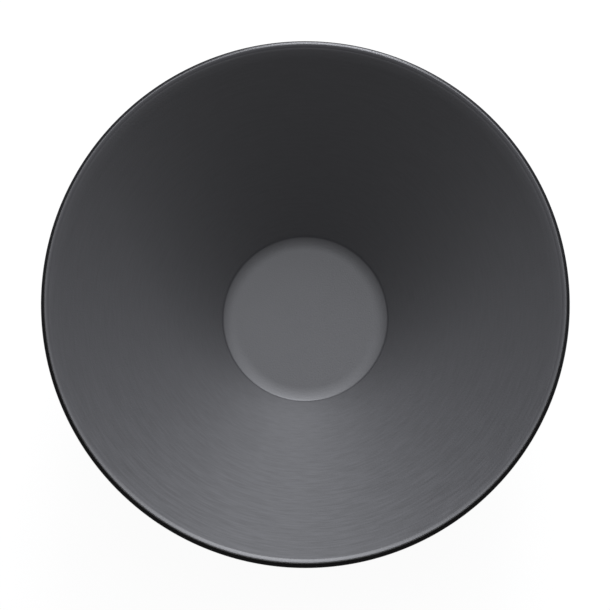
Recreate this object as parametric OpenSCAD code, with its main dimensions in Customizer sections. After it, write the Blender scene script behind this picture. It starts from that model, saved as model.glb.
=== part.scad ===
// Hair colour mixing bowl: a plain cone with a small flat floor and a slim lip.
// A charcoal inner shell sits inside a black outer shell, its lip standing a little
// above the outer shell's band. A soft grip ring is snapped into a groove under the
// foot so that the bowl stays put.
// Millimetres. +Z is up, and the origin is on the table under the bowl's centre.

/* [Bowl] */
// Outside diameter across the rim
rim_d = 150; // [120:1:185]
// Height from the table to the top of the lip
bowl_h = 68; // [54:1:84]
// Diameter of the floor, out to its tight corner
floor_d = 50; // [44:1:62]

/* [Walls] */
// Thickness of the inner shell
inner_t = 1.4; // [1.1:0.1:1.8]
// Thickness of the outer shell
outer_t = 1.2; // [0.9:0.1:1.6]

/* [Floor corner] */
// Radius of the slow curve at the edge of the floor
sweep_r = 15; // [11:0.5:18]
// Slope that the slow curve reaches, in degrees
sweep_a = 15; // [11:1:20]
// Radius of the tight corner between floor and wall
corner_r = 1.2; // [0.8:0.1:2.5]

/* [Lip] */
// Radius of the shoulder where the wall turns over into the lip
shoulder_r = 3.4; // [2.5:0.1:4]
// Slope of the lip's top where it reaches the outer edge, in degrees
lip_a = 18; // [12:1:24]
// Radius of the slow curve that leads the wall into the shoulder
lead_r = 35; // [20:1:50]
// Angle that the wall turns through along that slow curve, in degrees
lead_a = 6; // [3:0.5:8]
// Radius on the outer edge of the lip
lip_edge_r = 0.25; // [0.15:0.05:0.5]
// How far the lip stands above the band
lip_proud = 3.2; // [2:0.1:4.5]
// How deep the lip sits inside the band
seat_h = 1.2; // [0.9:0.1:1.8]

/* [Band] */
// Width of the outer shell's band, outside the lip
band_w = 1.25; // [1:0.05:1.6]
// Height of the band
band_h = 3; // [2.6:0.1:4.5]
// Radius of the band's crowned top
crown_r = 2; // [1.7:0.1:3]
// Radius on the outer edge of the crown
crown_edge_r = 0.3; // [0.2:0.05:0.6]
// Radius under the lower edge of the band
band_r = 0.8; // [0.5:0.1:1.1]
// Radius of the blend from the band into the wall
band_blend_r = 2; // [1.2:0.1:3]

/* [Foot] */
// How far the foot stands out past the edge of the floor
foot_out = 2; // [1:0.1:2.6]
// Height of the foot below the outer shell's floor
foot_h = 2; // [1.6:0.1:3]
// Thickness of the foot's outer skirt
skirt_t = 2; // [1.4:0.1:2.6]
// Thickness of the foot's inner skirt
inner_skirt_t = 1.6; // [1.2:0.1:2.2]
// Radius along the lower edges of both skirts
skirt_edge_r = 0.4; // [0.2:0.05:0.5]
// Radius of the blend from the wall into the foot
foot_blend_r = 1.5; // [1:0.1:2.5]

/* [Grip ring] */
// Radial width of the groove that holds the grip ring
groove_w = 5; // [4:0.1:6]
// How far the grip ring stands below the foot
grip_proud = 0.8; // [0.5:0.1:1.2]
// Gap between the grip ring and each side of its groove
grip_gap = 0.05; // [0.03:0.01:0.1]
// Radius of the snap bead on the grip ring
snap_r = 0.4; // [0.3:0.05:0.5]
// Number of treads on the underside of the grip ring
tread_count = 3; // [2:1:4]
// Radius of the round channels between the treads
channel_r = 0.35; // [0.25:0.05:0.45]

/* [Moulding marks] */
// Diameter of the gate's dimple under the bowl
gate_d = 8; // [5:0.5:12]
// Depth of the gate's dimple
gate_depth = 0.4; // [0.2:0.05:0.6]
// Diameter of the stub that the gate leaves
stub_d = 1.8; // [1:0.1:3]

/* [Hidden] */
$fn = 240;

// Steps in each arc of an outline
arc_steps = 12;
// Gap between the lip and the band round it
fit = 0.05;
// Share of the dimple's depth that the gate's stub fills
stub_share = 0.75;

wall_t = inner_t + outer_t;
rim_r = rim_d / 2;
floor_r = floor_d / 2;
foot_r = floor_r + foot_out;

// Heights, from the table up
skirt_z = grip_proud;
roof_z = skirt_z + foot_h;
floor_z = roof_z + wall_t;
band_top_z = bowl_h - lip_proud;
ledge_z = band_top_z - seat_h;
band_z = band_top_z - band_h;

// Radii round the rim, from the outside in
seat_r = rim_r - band_w;
lip_r = seat_r - fit;
crest_r = lip_r - lip_edge_r;

// Radii under the foot, from the outside in
groove_out_r = foot_r - skirt_t;
groove_in_r = groove_out_r - groove_w;
recess_r = groove_in_r - inner_skirt_t;

// The wall's inner line touches the corner's circle on one side. On its other side
// the slow curve and the shoulder together act as one circle about the shoulder's
// centre, and touching both fixes the wall's slope.
corner_c = [
    floor_r - corner_r * sin(sweep_a),
    floor_z + sweep_r * (1 - cos(sweep_a)) + corner_r * cos(sweep_a)
];
crest_c = [crest_r, bowl_h - lip_edge_r];
shoulder_c = crest_c + (shoulder_r - lip_edge_r) * [sin(lip_a), -cos(lip_a)];
lip_turn_r = shoulder_r * cos(lead_a) + lead_r * (1 - cos(lead_a));
centres = shoulder_c - corner_c;
slope = atan2(centres.y, centres.x) + asin((corner_r + lip_turn_r) / norm(centres));

// The slow curve ends where the shoulder starts, at this slope
shoulder_a = slope - lead_a;
lead_c = shoulder_c - (lead_r - shoulder_r) * [-sin(shoulder_a), cos(shoulder_a)];

// Unit vectors up along the wall and straight out of its outer face
along = [cos(slope), sin(slope)];
outward = [sin(slope), -cos(slope)];

// Points on an arc from angle a to angle b
function arc(c, r, a, b) =
    [for (i = [0:arc_steps]) let (t = a + (b - a) * i / arc_steps) c + r * [cos(t), sin(t)]];

// Points of a list in the opposite order
function back(points) = [for (i = [len(points) - 1:-1:0]) points[i]];

// Angle at which point q is seen from point p
function bearing(p, q) = atan2(q.y - p.y, q.x - p.x);

// Distance of the wall from the axis at height z, at a depth below its inner face
function wall_x(z, depth) =
    corner_c.x + (corner_r + depth) / sin(slope) + (z - corner_c.y) / tan(slope);

// The floor, its slow curve and its tight corner, at a depth below the inner face
function floor_line(depth) = concat(
    [[0, floor_z - depth]],
    arc([floor_r - sweep_r * sin(sweep_a), floor_z + sweep_r],
        sweep_r + depth, -90, sweep_a - 90),
    arc(corner_c, corner_r + depth, sweep_a - 90, slope - 90)
);

// Where the two shells meet, from the axis out to the ledge under the lip
function shell_joint() = concat(floor_line(inner_t), [[wall_x(ledge_z, inner_t), ledge_z]]);

// Centre of the circle that blends the underside of the band into the wall
function band_blend_c(band_c) =
    let (
        foot_of_wall = corner_c + (corner_r + wall_t) * outward,
        away = (band_c - foot_of_wall) * outward - band_blend_r,
        reach = band_r + band_blend_r,
        up = (band_c - foot_of_wall) * along - sqrt(reach * reach - away * away)
    )
    foot_of_wall + up * along + band_blend_r * outward;

// The outside of the rim: the seat, the band and the blend down to the wall
function rim_line() =
    let (
        crown_c = [seat_r, band_top_z - crown_r],
        edge_a = acos((band_w - crown_edge_r) / (crown_r - crown_edge_r)),
        edge_c = crown_c + (crown_r - crown_edge_r) * [cos(edge_a), sin(edge_a)],
        band_c = [rim_r - band_r, band_z + band_r],
        blend_c = band_blend_c(band_c),
        meet_a = bearing(band_c, blend_c)
    )
    concat(
        [[seat_r, ledge_z]],
        arc(crown_c, crown_r, 90, edge_a),
        arc(edge_c, crown_edge_r, edge_a, 0),
        arc(band_c, band_r, 0, meet_a),
        arc(blend_c, band_blend_r, meet_a + 180, slope + 90)
    );

// The outside of the foot, from the blend under the wall to the groove's mouth
function foot_line() =
    let (
        blend_x = foot_r + foot_blend_r,
        out = (blend_x - corner_c.x) * outward.x - (corner_r + wall_t) - foot_blend_r,
        blend_c = [blend_x, corner_c.y - out / outward.y]
    )
    concat(
        arc(blend_c, foot_blend_r, slope + 90, 180),
        arc([foot_r - skirt_edge_r, skirt_z + skirt_edge_r], skirt_edge_r, 0, -90)
    );

// The inner skirt, from the groove's roof round to the recess's roof
function inner_skirt_line() = concat(
    [[groove_in_r, roof_z]],
    arc([groove_in_r - skirt_edge_r, skirt_z + skirt_edge_r], skirt_edge_r, 0, -90),
    arc([recess_r + skirt_edge_r, skirt_z + skirt_edge_r], skirt_edge_r, -90, -180),
    [[recess_r, roof_z]]
);

// The gate's dimple with its stub, from the recess's roof in to the axis
function gate_line() =
    let (top_z = roof_z + gate_depth, stub_z = top_z - gate_depth * stub_share)
    [
        [gate_d / 2, roof_z],
        [gate_d / 2 - gate_depth, top_z],
        [stub_d / 2, top_z],
        [stub_d / 2, stub_z],
        [0, stub_z]
    ];

// The snap bead's centre, half way up the groove's outer side
module at_snap() {
    translate([groove_out_r - snap_r / 2, (skirt_z + roof_z) / 2]) children();
}

module inner_shell() {
    color("#55575b") rotate_extrude() polygon(concat(
        floor_line(0),
        arc(lead_c, lead_r, slope + 90, shoulder_a + 90),
        arc(shoulder_c, shoulder_r, shoulder_a + 90, lip_a + 90),
        arc(crest_c, lip_edge_r, lip_a + 90, 0),
        [[lip_r, ledge_z]],
        back(shell_joint())
    ));
}

module outer_shell() {
    color("#17181a") rotate_extrude() difference() {
        polygon(concat(
            shell_joint(),
            rim_line(),
            foot_line(),
            [[groove_out_r, skirt_z], [groove_out_r, roof_z]],
            inner_skirt_line(),
            gate_line()
        ));
        at_snap() circle(snap_r + grip_gap);
    }
}

module grip_ring() {
    ring_out_r = groove_out_r - grip_gap;
    ring_in_r = groove_in_r + grip_gap;
    tread_pitch = (ring_out_r - ring_in_r) / tread_count;
    color("#26272a") rotate_extrude() {
        difference() {
            translate([ring_in_r, 0]) square([ring_out_r - ring_in_r, roof_z]);
            for (i = [1:tread_count - 1])
                translate([ring_in_r + i * tread_pitch, 0]) circle(channel_r);
        }
        at_snap() circle(snap_r);
    }
}

inner_shell();
outer_shell();
grip_ring();
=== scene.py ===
# %% [markdown]
# # A hair colour bowl, turned in Blender
# This lesson gives a salon's mixing bowl its finish. The real bowl is three
# mouldings: a charcoal liner with the floor, wall and lip, a black jacket round the
# outside, and a rubber ring under the foot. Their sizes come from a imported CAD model,
# which is loaded first and stays fixed. We only add what the eye sees.

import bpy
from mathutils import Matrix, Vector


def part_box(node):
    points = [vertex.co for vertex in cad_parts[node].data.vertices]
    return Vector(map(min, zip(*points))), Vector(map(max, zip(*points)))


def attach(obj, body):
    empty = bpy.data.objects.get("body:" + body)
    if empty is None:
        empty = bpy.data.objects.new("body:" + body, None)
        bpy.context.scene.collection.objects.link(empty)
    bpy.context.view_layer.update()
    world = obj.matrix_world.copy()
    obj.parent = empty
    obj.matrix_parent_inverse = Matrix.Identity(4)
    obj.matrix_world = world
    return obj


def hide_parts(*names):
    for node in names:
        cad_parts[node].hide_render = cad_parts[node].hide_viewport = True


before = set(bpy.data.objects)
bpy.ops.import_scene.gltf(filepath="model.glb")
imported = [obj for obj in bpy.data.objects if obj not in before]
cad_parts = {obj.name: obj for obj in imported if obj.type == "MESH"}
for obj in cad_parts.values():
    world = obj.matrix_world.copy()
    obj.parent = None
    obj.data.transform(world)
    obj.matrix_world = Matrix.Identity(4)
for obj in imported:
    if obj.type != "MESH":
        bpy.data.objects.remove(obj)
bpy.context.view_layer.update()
print("CAD pieces:", sorted(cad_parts))

# %% Tools used below
from math import acos, asin, atan2, cos, hypot, pi, radians, sin, sqrt, tan

import bmesh
import bpy
from mathutils import Vector

MM = 0.001
scene = bpy.context.scene

# %% [markdown]
# ## Sizes
# Blender works in metres and a moulding is measured in millimetres, so every size
# below is written in millimetres and only the mesh itself is scaled. The overall sizes
# are read from the CAD model's boxes. The walls, radii and clearances can't be read
# from a box, so they repeat the moulding's own dimensions by name, and each is named
# where it is first needed.

# %% Read the overall sizes
def box_mm(node):
    """The lowest and highest corners of a CAD piece, in millimetres."""
    low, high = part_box(node)
    return low / MM, high / MM


liner_high = box_mm("inner_shell")[1]
jacket_low, jacket_high = box_mm("outer_shell")
ring_high = box_mm("grip_ring")[1]

rim_r = jacket_high.x
band_top_z = jacket_high.z
lip_r = liner_high.x
bowl_h = liner_high.z
skirt_z = jacket_low.z
roof_z = ring_high.z
print(f"rim {2 * rim_r:.1f}, height {bowl_h:.1f}, foot groove {skirt_z:.1f} to {roof_z:.1f} mm")

# %% Name the sizes of the walls, the floor and the lip
inner_t = 1.4
outer_t = 1.2
floor_r = 25.0
sweep_r = 15.0
sweep_a = radians(15)
corner_r = 1.2

shoulder_r = 3.4
lip_a = radians(18)
lead_r = 35.0
lead_a = radians(6)
lip_edge_r = 0.25
seat_h = 1.2
fit = 0.05
print(f"walls {inner_t} and {outer_t} mm, floor {2 * floor_r:.0f} mm across")

# %% [markdown]
# ## Outlines
# A bowl is a body of revolution. Half of its section is drawn once, as a line of
# points in the X-Z plane, and a full turn about Z makes the surface. Straight
# stretches need no points between their ends, and each arc gets a point every few
# degrees, which is what makes the highlight on a lip run smoothly.

# %% Points along an arc
ARC_STEP = radians(3)


def arc(centre, radius, start, end):
    """Points on an arc, from one angle to another."""
    steps = max(4, round(abs(end - start) / ARC_STEP))
    angles = [start + (end - start) * i / steps for i in range(steps + 1)]
    return [(centre[0] + radius * cos(a), centre[1] + radius * sin(a)) for a in angles]


# %% [markdown]
# The straight wall touches the corner's circle at its foot and the curves of the lip at
# its top. Only one line does both, so its slope isn't chosen but worked out from the
# two centres, and it stays right when any radius changes.

# %% Work out the wall's slope
wall_t = inner_t + outer_t
floor_z = roof_z + wall_t
ledge_z = band_top_z - seat_h
seat_r = lip_r + fit
crest_r = lip_r - lip_edge_r

corner_c = (
    floor_r - corner_r * sin(sweep_a),
    floor_z + sweep_r * (1 - cos(sweep_a)) + corner_r * cos(sweep_a),
)
crest_c = (crest_r, bowl_h - lip_edge_r)
shoulder_c = (
    crest_c[0] + (shoulder_r - lip_edge_r) * sin(lip_a),
    crest_c[1] - (shoulder_r - lip_edge_r) * cos(lip_a),
)
across, rise = shoulder_c[0] - corner_c[0], shoulder_c[1] - corner_c[1]
lip_turn_r = shoulder_r * cos(lead_a) + lead_r * (1 - cos(lead_a))
slope = atan2(rise, across) + asin((corner_r + lip_turn_r) / hypot(across, rise))
shoulder_a = slope - lead_a
lead_c = (
    shoulder_c[0] + (lead_r - shoulder_r) * sin(shoulder_a),
    shoulder_c[1] - (lead_r - shoulder_r) * cos(shoulder_a),
)
print(f"the wall rises at {slope * 180 / pi:.1f} degrees")


# %% Lines that both shells share
def wall_x(z, depth):
    """Distance of the wall from the axis at height z, at a depth below its inner face."""
    return corner_c[0] + (corner_r + depth) / sin(slope) + (z - corner_c[1]) / tan(slope)


def floor_line(depth):
    """The floor, its slow curve and its tight corner, at a depth below the inner face."""
    sweep_c = (floor_r - sweep_r * sin(sweep_a), floor_z + sweep_r)
    return (
        [(0, floor_z - depth)]
        + arc(sweep_c, sweep_r + depth, -pi / 2, sweep_a - pi / 2)
        + arc(corner_c, corner_r + depth, sweep_a - pi / 2, slope - pi / 2)[1:]
    )


def shell_joint():
    """Where the two shells meet, from the axis out to the ledge under the lip."""
    return floor_line(inner_t) + [(wall_x(ledge_z, inner_t), ledge_z)]


# %% [markdown]
# ## From outline to surface
# A Screw modifier could turn the outline, and so could the Spin operator. Here bmesh
# spins it in code, because the piece then holds real vertices from the start. Points
# on the axis come out once for every step of the turn, so they are merged. The
# shading is smooth, and an edge stays crisp only where the outline turns sharply.

# %% Spin an outline into a closed piece
TURN_STEPS = 288
CRISP = radians(35)
SAME_POINT_MM = 0.0005


def turn(name, outline):
    """A closed piece of revolution from an outline in millimetres, listed anticlockwise."""
    shape = bmesh.new()
    points = [shape.verts.new((x * MM, 0, z * MM)) for x, z in outline]
    pairs = list(zip(points, points[1:]))
    if outline[0][0] > 0:
        pairs.append((points[-1], points[0]))
    edges = [shape.edges.new(pair) for pair in pairs]
    bmesh.ops.spin(
        shape, geom=points + edges, cent=(0, 0, 0), axis=(0, 0, 1),
        angle=2 * pi, steps=TURN_STEPS, use_merge=True,
    )
    bmesh.ops.remove_doubles(shape, verts=shape.verts, dist=SAME_POINT_MM * MM)
    bmesh.ops.recalc_face_normals(shape, faces=shape.faces)
    mesh = bpy.data.meshes.new(name)
    shape.to_mesh(mesh)
    closed = all(edge.is_manifold for edge in shape.edges)
    shape.free()
    mesh.shade_smooth()
    mesh.set_sharp_from_angle(angle=CRISP)
    piece = bpy.data.objects.new(name, mesh)
    scene.collection.objects.link(piece)
    print(f"{name}: {len(mesh.polygons)} faces, closed: {closed}")
    return piece


# %% [markdown]
# ## The liner
# The charcoal liner is the piece that holds the colour. Its floor curves up slowly and
# then meets the wall in a tight corner. Near the top the wall leans out a little and
# turns over into the lip, which stands above the jacket's band. One outline runs along
# the inner face and returns along the joint between the two shells.

# %% Turn the liner
liner_outline = (
    floor_line(0)
    + arc(lead_c, lead_r, slope + pi / 2, shoulder_a + pi / 2)
    + arc(shoulder_c, shoulder_r, shoulder_a + pi / 2, lip_a + pi / 2)[1:]
    + arc(crest_c, lip_edge_r, lip_a + pi / 2, 0)[1:]
    + [(lip_r, ledge_z)]
    + shell_joint()[::-1]
)
liner = turn("charcoal_liner", liner_outline)

# %% [markdown]
# ## The jacket
# The black jacket shows as a thin band round the lip, and from the side it is the
# whole outside of the bowl. Its outline has four parts: the joint, the rim with its
# band, the foot, and the recess under the base with the mark that the mould's gate
# leaves. Blends are circles that touch both of their neighbours, so their centres are
# worked out and not placed by eye.

# %% The rim of the jacket
band_h = 3.0
crown_r = 2.0
crown_edge_r = 0.3
band_r = 0.8
band_blend_r = 2.0
print(f"the band is {rim_r - seat_r:.2f} mm wide and {band_h} mm high")

along = (cos(slope), sin(slope))
outward = (sin(slope), -cos(slope))


def offset_from_wall(point):
    """How far a point lies outside the jacket's wall, and how far up along it."""
    foot = [corner_c[i] + (corner_r + wall_t) * outward[i] for i in range(2)]
    gap = [point[i] - foot[i] for i in range(2)]
    out = gap[0] * outward[0] + gap[1] * outward[1]
    up = gap[0] * along[0] + gap[1] * along[1]
    return foot, out, up


def rim_line():
    """The outside of the rim: the seat, the band and the blend down to the wall."""
    crown_c = (seat_r, band_top_z - crown_r)
    edge_a = acos((rim_r - seat_r - crown_edge_r) / (crown_r - crown_edge_r))
    edge_c = (rim_r - crown_edge_r, crown_c[1] + (crown_r - crown_edge_r) * sin(edge_a))
    band_c = (rim_r - band_r, band_top_z - band_h + band_r)
    foot, out, up = offset_from_wall(band_c)
    reach = band_r + band_blend_r
    up -= sqrt(reach**2 - (out - band_blend_r) ** 2)
    blend_c = [foot[i] + up * along[i] + band_blend_r * outward[i] for i in range(2)]
    meet_a = atan2(blend_c[1] - band_c[1], blend_c[0] - band_c[0])
    return (
        [(seat_r, ledge_z)]
        + arc(crown_c, crown_r, pi / 2, edge_a)
        + arc(edge_c, crown_edge_r, edge_a, 0)[1:]
        + arc(band_c, band_r, 0, meet_a)
        + arc(blend_c, band_blend_r, meet_a + pi, slope + pi / 2)[1:]
    )


# %% The foot of the jacket
foot_out = 2.0
skirt_t = 2.0
inner_skirt_t = 1.6
skirt_edge_r = 0.4
foot_blend_r = 1.5
groove_w = 5.0
grip_gap = 0.05
snap_r = 0.4

foot_r = floor_r + foot_out
groove_out_r = foot_r - skirt_t
groove_in_r = groove_out_r - groove_w
recess_r = groove_in_r - inner_skirt_t
snap_c = (groove_out_r - snap_r / 2, (skirt_z + roof_z) / 2)
print(f"the foot is {2 * foot_r:.0f} mm across, with a groove {groove_w} mm wide")


def foot_line():
    """From the blend under the wall, round both skirts, to the recess's roof."""
    blend_x = foot_r + foot_blend_r
    out = (blend_x - corner_c[0]) * outward[0] - (corner_r + wall_t) - foot_blend_r
    blend_c = (blend_x, corner_c[1] - out / outward[1])
    edge_z = skirt_z + skirt_edge_r
    socket_r = snap_r + grip_gap
    half = asin((groove_out_r - snap_c[0]) / socket_r)
    return (
        arc(blend_c, foot_blend_r, slope + pi / 2, pi)
        + arc((foot_r - skirt_edge_r, edge_z), skirt_edge_r, 0, -pi / 2)
        + [(groove_out_r, skirt_z)]
        + arc(snap_c, socket_r, half - pi / 2, pi / 2 - half)
        + [(groove_out_r, roof_z), (groove_in_r, roof_z)]
        + arc((groove_in_r - skirt_edge_r, edge_z), skirt_edge_r, 0, -pi / 2)
        + arc((recess_r + skirt_edge_r, edge_z), skirt_edge_r, -pi / 2, -pi)
        + [(recess_r, roof_z)]
    )


# %% The mark that the gate leaves
gate_r = 4.0
gate_depth = 0.4
stub_r = 0.9
stub_h = 0.3


def gate_line():
    """The gate's dimple and stub, from the recess's roof in to the axis."""
    top_z = roof_z + gate_depth
    return [
        (gate_r, roof_z),
        (gate_r - gate_depth, top_z),
        (stub_r, top_z),
        (stub_r, top_z - stub_h),
        (0, top_z - stub_h),
    ]


# %% Turn the jacket
jacket = turn("black_jacket", shell_joint() + rim_line() + foot_line() + gate_line())

# %% [markdown]
# ## The grip ring
# A soft ring sits in the groove under the foot. A bead on its outer side snaps into
# the jacket, and round channels split its underside into treads that grip the table.
# A torus would be too round for it. Its own section is drawn and turned like the
# others, from the same sizes as the groove, so the two can't drift apart.

# %% Turn the grip ring
tread_count = 3
channel_r = 0.35


def ring_outline():
    """The ring's section, with channels between the treads and the snap bead."""
    out_r, in_r = groove_out_r - grip_gap, groove_in_r + grip_gap
    pitch = (out_r - in_r) / tread_count
    half = asin((out_r - snap_c[0]) / snap_r)
    line = [(in_r, 0)]
    for i in range(1, tread_count):
        line += arc((in_r + i * pitch, 0), channel_r, pi, 0)
    line += [(out_r, 0)] + arc(snap_c, snap_r, half - pi / 2, pi / 2 - half)
    return line + [(out_r, roof_z), (in_r, roof_z)]


grip = turn("rubber_grip", ring_outline())

# %% [markdown]
# ## Finishes
# All three pieces are plastic or rubber, so one Principled shader each is enough, and
# what makes them convincing is the mould's own surface. Noise textures are read at the
# object's own coordinates, in metres, so their scales are real sizes and they stay put
# when the bowl moves.

# %% Start a material
def new_material(name, colour, roughness):
    """A Principled material, returned with its node tree and shader."""
    material = bpy.data.materials.new(name)
    material.use_nodes = True
    material.diffuse_color = (*colour, 1)
    tree = material.node_tree
    shader = tree.nodes["Principled BSDF"]
    shader.inputs["Base Color"].default_value = (*colour, 1)
    shader.inputs["Roughness"].default_value = roughness
    return material, tree, shader


def add(tree, kind, **values):
    """A new node with its settings and unlinked inputs filled in by name."""
    node = tree.nodes.new(kind)
    for key, value in values.items():
        if hasattr(node, key):
            setattr(node, key, value)
        else:
            node.inputs[key.replace("_", " ")].default_value = value
    return node


def object_place(tree):
    """The object's own coordinates, in metres."""
    return add(tree, "ShaderNodeTexCoord").outputs["Object"]


# Noise seldom leaves this stretch of its range from 0 to 1
NOISE_LOW = 0.3
NOISE_HIGH = 0.7


def tint(tree, shader, value, colour, share):
    """Let a value from 0 to 1 vary the base colour by a small share either way."""
    ramp = add(tree, "ShaderNodeValToRGB")
    for stop, factor in zip(ramp.color_ramp.elements, (1 - share, 1 + share)):
        stop.color = (*[channel * factor for channel in colour], 1)
    ramp.color_ramp.elements[0].position = NOISE_LOW
    ramp.color_ramp.elements[1].position = NOISE_HIGH
    tree.links.new(value, ramp.inputs["Fac"])
    tree.links.new(ramp.outputs["Color"], shader.inputs["Base Color"])


def blotches(tree, place, shader, colour, size_mm, share):
    """Vary the base colour a little over patches of the given size."""
    noise = add(tree, "ShaderNodeTexNoise", Scale=1 / (size_mm * MM), Detail=3.0)
    tree.links.new(place, noise.inputs["Vector"])
    tint(tree, shader, noise.outputs["Fac"], colour, share)


def relief(tree, value, shader, depth_mm, over=None):
    """Turn a value from 0 to 1 into shallow relief, over another relief if one is given."""
    bump = add(tree, "ShaderNodeBump", Strength=1.0, Distance=depth_mm * MM)
    tree.links.new(value, bump.inputs["Height"])
    if over:
        tree.links.new(over.outputs["Normal"], bump.inputs["Normal"])
    tree.links.new(bump.outputs["Normal"], shader.inputs["Normal"])
    return bump


def grain(tree, place, shader, size_mm, depth_mm, over=None):
    """Fine even grain, as a spark-eroded mould leaves it."""
    noise = add(tree, "ShaderNodeTexNoise", Scale=1 / (size_mm * MM), Detail=2.0)
    tree.links.new(place, noise.inputs["Vector"])
    relief(tree, noise.outputs["Fac"], shader, depth_mm, over)


# %% [markdown]
# ### Satin floor and lip
# The mould was spark-eroded where it shaped the floor and the lip, and that leaves an
# even satin with no direction. A roughness value alone would look like paint, so a fine
# grain breaks up the highlight and soft blotches vary the colour a little.

# %% Mix the satin charcoal
CHARCOAL = (0.0500, 0.0495, 0.0530)

satin_finish, tree, shader = new_material("sparked_charcoal", CHARCOAL, roughness=0.48)
shader.inputs["Specular IOR Level"].default_value = 1.0
shader.inputs["IOR"].default_value = 1.5
place = object_place(tree)
blotches(tree, place, shader, CHARCOAL, size_mm=6.0, share=0.03)
grain(tree, place, shader, size_mm=0.45, depth_mm=0.025)
print(satin_finish.name, "is for the floor and the lip")

# %% [markdown]
# ### The turned wall
# The wall's half of the mould was cut on a lathe, and the tool left rings that run
# round the bowl. They are far too fine to model, but they spread the highlight across
# the rings and leave faint streaks. The shader's anisotropy does the spreading. The
# streaks are noise that runs quickly with the distance from the axis and slowly with
# the direction, so each one is an arc that fades out after a few degrees. In front,
# on the near wall that the lamp lights, they are made stronger in tone and relief:
# the stronger tone there is painted sheen.

# %% Arcs round the axis
def streaks(tree, place, pitch_mm, arcs_in_a_radian):
    """Noise from 0 to 1, stretched into arcs round the axis."""
    apart = add(tree, "ShaderNodeSeparateXYZ")
    flat = add(tree, "ShaderNodeCombineXYZ")
    length = add(tree, "ShaderNodeVectorMath", operation="LENGTH")
    direction = add(tree, "ShaderNodeVectorMath", operation="NORMALIZE")
    spread = add(tree, "ShaderNodeVectorMath", operation="SCALE")
    spread.inputs["Scale"].default_value = arcs_in_a_radian
    step = add(tree, "ShaderNodeMath", operation="MULTIPLY")
    step.inputs[1].default_value = 1 / (pitch_mm * MM)
    height = add(tree, "ShaderNodeCombineXYZ")
    where = add(tree, "ShaderNodeVectorMath", operation="ADD")
    noise = add(tree, "ShaderNodeTexNoise", Scale=1.0, Detail=5.0, Roughness=0.65)
    tree.links.new(place, apart.inputs["Vector"])
    tree.links.new(apart.outputs["X"], flat.inputs["X"])
    tree.links.new(apart.outputs["Y"], flat.inputs["Y"])
    tree.links.new(flat.outputs["Vector"], length.inputs[0])
    tree.links.new(flat.outputs["Vector"], direction.inputs[0])
    tree.links.new(length.outputs["Value"], step.inputs[0])
    tree.links.new(step.outputs["Value"], height.inputs["Z"])
    tree.links.new(direction.outputs["Vector"], spread.inputs[0])
    tree.links.new(spread.outputs["Vector"], where.inputs[0])
    tree.links.new(height.outputs["Vector"], where.inputs[1])
    tree.links.new(where.outputs["Vector"], noise.inputs["Vector"])
    return noise.outputs["Fac"]


# %% Painted sheen: stronger streaks on the lit near wall
# Where the painted sheen on the near wall starts and reaches its full strength, in millimetres
# along Y
PAINTED_SHEEN_START_Y = -15
PAINTED_SHEEN_FULL_Y = -60


def streaks_with_painted_sheen_in_front(tree, place, value, least, most):
    """Scale a value about its middle: least at the axis and behind it, most in front, as
    painted sheen on the lit near wall.
    """
    apart = add(tree, "ShaderNodeSeparateXYZ")
    reach = add(tree, "ShaderNodeMapRange")
    reach.inputs["From Min"].default_value = PAINTED_SHEEN_START_Y * MM
    reach.inputs["From Max"].default_value = PAINTED_SHEEN_FULL_Y * MM
    reach.inputs["To Min"].default_value = least
    reach.inputs["To Max"].default_value = most
    centred = add(tree, "ShaderNodeMath", operation="SUBTRACT")
    centred.inputs[1].default_value = 0.5
    scaled = add(tree, "ShaderNodeMath", operation="MULTIPLY_ADD")
    scaled.inputs[2].default_value = 0.5
    tree.links.new(place, apart.inputs["Vector"])
    tree.links.new(apart.outputs["Y"], reach.inputs["Value"])
    tree.links.new(value, centred.inputs[0])
    tree.links.new(centred.outputs["Value"], scaled.inputs[0])
    tree.links.new(reach.outputs["Result"], scaled.inputs[1])
    return scaled.outputs["Value"]


# %% Mix the turned charcoal
wall_finish, tree, shader = new_material("turned_charcoal", CHARCOAL, roughness=0.68)
shader.inputs["Specular IOR Level"].default_value = 1.0
shader.inputs["IOR"].default_value = 1.53
shader.inputs["Anisotropic"].default_value = 0.67
shader.inputs["Anisotropic Rotation"].default_value = 0.25
place = object_place(tree)
arcs = streaks(tree, place, pitch_mm=0.5, arcs_in_a_radian=8.0)
# Painted sheen: the streaks' tint and relief grow stronger in front, on the near wall that the
# lamp lights
arcs = streaks_with_painted_sheen_in_front(tree, place, arcs, least=0.35, most=1.2)
# In front this tint is painted sheen; elsewhere it is the streaks' own faint tone
tint(tree, shader, arcs, CHARCOAL, share=0.3)
rings = relief(tree, arcs, shader, depth_mm=0.02)
grain(tree, place, shader, size_mm=0.5, depth_mm=0.03, over=rings)
print(wall_finish.name, "is for the wall, in", len(tree.nodes), "nodes")

# %% [markdown]
# ### Black jacket and rubber ring
# The jacket is moulded in a smooth satin black, a good deal glossier than the liner, so
# its roughness is low and its grain is shallow. The ring is soft rubber and hardly
# shines. Both are nearly black, and their gloss is what tells them apart.

# %% Mix the satin black
BLACK = (0.012, 0.012, 0.013)

jacket_finish, tree, shader = new_material("satin_black", BLACK, roughness=0.3)
place = object_place(tree)
blotches(tree, place, shader, BLACK, size_mm=12.0, share=0.08)
grain(tree, place, shader, size_mm=0.9, depth_mm=0.004)
print(jacket_finish.name, "is for the jacket")

# %% Mix the rubber
RUBBER = (0.018, 0.018, 0.019)

grip_finish, tree, shader = new_material("black_rubber", RUBBER, roughness=0.75)
place = object_place(tree)
blotches(tree, place, shader, RUBBER, size_mm=3.0, share=0.12)
grain(tree, place, shader, size_mm=0.25, depth_mm=0.02)
print(grip_finish.name, "is for the ring")

# %% [markdown]
# ### Where each finish goes
# The jacket and the ring take one finish each. The liner takes two, so it gets two
# material slots, and the distance of a face from the axis says which one it uses. The
# change on the lip lies on its shoulder, where the surface turns and hides it.

# %% Put the finishes on
SATIN_FROM_A = radians(36)

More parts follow.
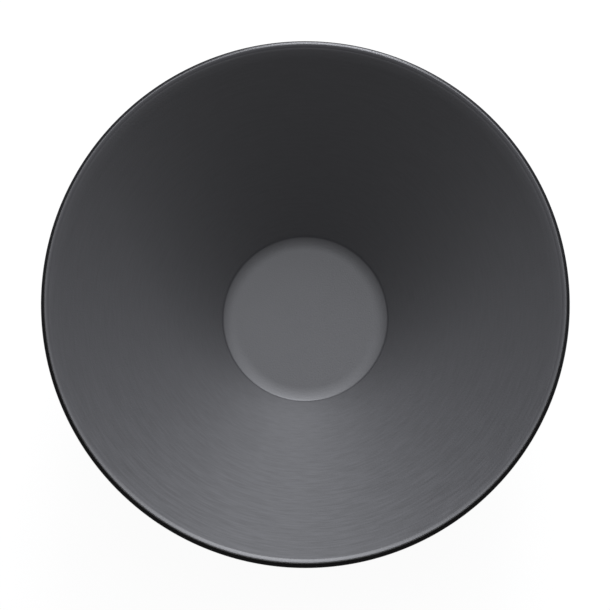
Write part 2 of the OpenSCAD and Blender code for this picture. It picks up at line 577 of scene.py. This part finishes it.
corner_end_r = corner_c[0] + corner_r * sin(slope)
lip_start_r = shoulder_c[0] - shoulder_r * sin(SATIN_FROM_A)
liner.data.materials.append(satin_finish)
liner.data.materials.append(wall_finish)
for face in liner.data.polygons:
    from_axis = hypot(face.center.x, face.center.y) / MM
    face.material_index = 1 if corner_end_r < from_axis < lip_start_r else 0
jacket.data.materials.append(jacket_finish)
grip.data.materials.append(grip_finish)
turned = sum(face.material_index for face in liner.data.polygons)
print(f"{turned} of the liner's {len(liner.data.polygons)} faces are turned, the rest satin")

# %% [markdown]
# ## Joining the frame
# Each turned piece stands for one CAD solid and rides on the part's only body.
# Nothing is moved to make it fit, because both models are drawn round the same origin.

# %% Tie the pieces to the CAD model
for piece, node in ((liner, "inner_shell"), (jacket, "outer_shell"), (grip, "grip_ring")):
    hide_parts(node)
    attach(piece, "root")
    print(piece.name, "stands for", node)

# %% [markdown]
# ## The table
# A pale disc serves as the table. It is white to the eye and to reflections, and a
# dull grey to the lamps' bounced light, so it can't flood the bowl's dark underside.
# A little of its real shading is kept, and that shows the bowl's soft shadow. A square
# plane would do as well, but a wide disc has no corners to show on the horizon.

# %% Lay the table
TABLE_R = 3.0
PAPER = (0.08, 0.08, 0.08)
PAPER_GLOW = 0.955

table_mesh = bpy.data.meshes.new("table")
disc = bmesh.new()
bmesh.ops.create_circle(disc, cap_ends=True, radius=TABLE_R, segments=96)
disc.to_mesh(table_mesh)
disc.free()
table = bpy.data.objects.new("table", table_mesh)
scene.collection.objects.link(table)

paper, tree, shader = new_material("white_paper", PAPER, roughness=0.9)
shader.inputs["Specular IOR Level"].default_value = 0.0
rays = add(tree, "ShaderNodeLightPath")
seen = add(tree, "ShaderNodeMath", operation="MAXIMUM")
glow = add(tree, "ShaderNodeMath", operation="MULTIPLY")
glow.inputs[1].default_value = PAPER_GLOW
tree.links.new(rays.outputs["Is Camera Ray"], seen.inputs[0])
tree.links.new(rays.outputs["Is Glossy Ray"], seen.inputs[1])
tree.links.new(seen.outputs["Value"], glow.inputs[0])
shader.inputs["Emission Color"].default_value = (1, 1, 1, 1)
tree.links.new(glow.outputs["Value"], shader.inputs["Emission Strength"])
table_mesh.materials.append(paper)
print(f"{table.name}: {2 * TABLE_R:.0f} m across")

# %% [markdown]
# ## Light
# A soft lamp stands behind the bowl, a little less than half way up, and gives the
# bright near wall, the soft shadow on the far wall and the line along the lip. A wider
# and weaker one overhead lights the floor. Both have a real size, because a point lamp
# would draw hard edges inside the bowl. The world adds a dim even fill, so that shadows
# keep their colour.

# %% Hang the lamps
LAMP_COLOUR = (0.97, 0.99, 1.05)


def lamp(name, azimuth, elevation, distance, size, power):
    """A square soft lamp aimed at the bowl; azimuth 0 is behind it and 90 to its right."""
    data = bpy.data.lights.new(name, "AREA")
    data.shape = "SQUARE"
    data.size = size
    data.energy = power
    data.color = LAMP_COLOUR
    body = bpy.data.objects.new(name, data)
    scene.collection.objects.link(body)
    turn_a, lift_a = radians(azimuth), radians(elevation)
    aim = Vector((sin(turn_a) * cos(lift_a), cos(turn_a) * cos(lift_a), sin(lift_a)))
    target = Vector((0, 0, bowl_h * MM / 2))
    body.location = target + aim * distance
    body.rotation_euler = (-aim).to_track_quat("-Z", "Y").to_euler()
    body.visible_camera = False
    print(f"{name}: {power} W, {distance} m away, {elevation} degrees up")


lamp("window", azimuth=6, elevation=40, distance=0.7, size=0.3, power=5.1)
lamp("ceiling", azimuth=6, elevation=75, distance=1.0, size=0.6, power=3.3)

# %% Add the fill
FILL_COLOUR = (1, 0.98, 0.98, 1)
FILL_STRENGTH = 0.1

world = bpy.data.worlds.new("studio")
scene.world = world
world.use_nodes = True
background = world.node_tree.nodes["Background"]
background.inputs["Color"].default_value = FILL_COLOUR
background.inputs["Strength"].default_value = FILL_STRENGTH
print("fill:", FILL_STRENGTH)

# %% [markdown]
# ## Camera
# The camera looks almost straight down, leaning a few degrees towards the front, from
# about two thirds of a metre. It aims at the middle of the rim. The lens isn't picked
# by eye: it follows from the distance and from the share of the frame that the rim
# should take, so the framing holds when either changes.

# %% Place the camera
VIEW_ELEVATION = radians(85)
VIEW_DISTANCE = 0.68
SENSOR = 36
FRAME_SHARE = 0.866

camera_data = bpy.data.cameras.new("camera")
camera = bpy.data.objects.new("camera", camera_data)
scene.collection.objects.link(camera)
scene.camera = camera
rim_middle = Vector((0, 0, (band_top_z - band_h / 2) * MM))
back = Vector((0, -cos(VIEW_ELEVATION), sin(VIEW_ELEVATION)))
camera.location = rim_middle + back * VIEW_DISTANCE
camera.rotation_euler = (-back).to_track_quat("-Z", "Y").to_euler()
camera_data.sensor_width = SENSOR
camera_data.lens = SENSOR * FRAME_SHARE * VIEW_DISTANCE / (2 * rim_r * MM)
camera_data.shift_x = -0.0006
camera_data.shift_y = -0.0043
camera_data.clip_start = 0.01
camera_data.clip_end = 20
print(f"lens {camera_data.lens:.1f} mm at {VIEW_DISTANCE} m")

# %% Colour is shown as it is written
scene.view_settings.view_transform = "Standard"
print("view transform:", scene.view_settings.view_transform)
